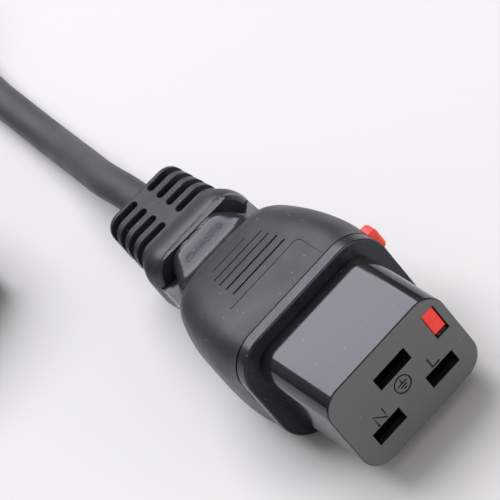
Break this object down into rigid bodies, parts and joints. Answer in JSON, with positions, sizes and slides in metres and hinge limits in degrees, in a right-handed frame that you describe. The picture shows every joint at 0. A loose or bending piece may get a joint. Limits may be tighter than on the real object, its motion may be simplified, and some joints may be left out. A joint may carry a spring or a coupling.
{
  "type": "locking c19 line socket on a lead",
  "caption": "Locking C19 mains line socket with a side release button, moulded housing and slotted strain relief, on a 1 m lead, folded into a hank, that ends in a C20 plug.",
  "frame": {"origin": "centre of the socket's mating face", "axes": "+Y from the mating face back along the socket towards its cord, +X towards the line contact and the release button, +Z towards the earth contact"},
  "size_m": [0.0739, 0.2829, 0.0246],
  "materials": {
    "carrier_black": "glossy moulded, satin on the mating face",
    "collar_black": "satin moulded",
    "housing_black": "satin moulded PVC",
    "lock_red": "satin moulded",
    "contact_brass": "stamped",
    "core_brown": "core insulation",
    "core_blue": "core insulation",
    "core_green_yellow": "core insulation",
    "inner_grey": "inner moulding",
    "spring_steel": "bright",
    "cord_black": "matt PVC sheath",
    "strap_black": "hook and loop strap",
    "pin_nickel": "nickel plated"
  },
  "bodies": {
    "socket": {"contact_carrier": "carrier_black", "front_collar": "collar_black", "housing": "housing_black", "contact_line": "contact_brass", "core_line": "core_brown", "contact_neutral": "contact_brass", "core_neutral": "core_blue", "contact_earth": "contact_brass", "core_earth": "core_green_yellow", "crimp_moulding": "inner_grey", "button_spring": "spring_steel", "key_spring": "spring_steel", "cord_entry": "cord_black", "cord_lead": "cord_black", "cord_hank": "cord_black", "hank_strap": "strap_black", "cord_tail": "cord_black", "plug_pin_line": "pin_nickel", "plug_pin_neutral": "pin_nickel", "plug_pin_earth": "pin_nickel", "plug_shroud": "carrier_black", "plug_body": "housing_black"},
    "button": {"release_button": "lock_red"},
    "key": {"lock_key": "lock_red"}
  },
  "joints": [
    {"name": "button_press", "type": "slide", "parent": "socket", "child": "button", "axis": [-1, 0, 0], "range_m": [0, 0.001], "stiffness_N_per_m": 300, "springref_m": -0.0008, "deforming": ["button_spring"]},
    {"name": "key_drop", "type": "slide", "parent": "socket", "child": "key", "axis": [0, 0, -1], "range_m": [0, 0.00035], "deforming": ["key_spring"]}
  ],
  "couplings": [
    {"joint": "key_drop", "follows": "button_press", "ratio": 0.35}
  ]
}
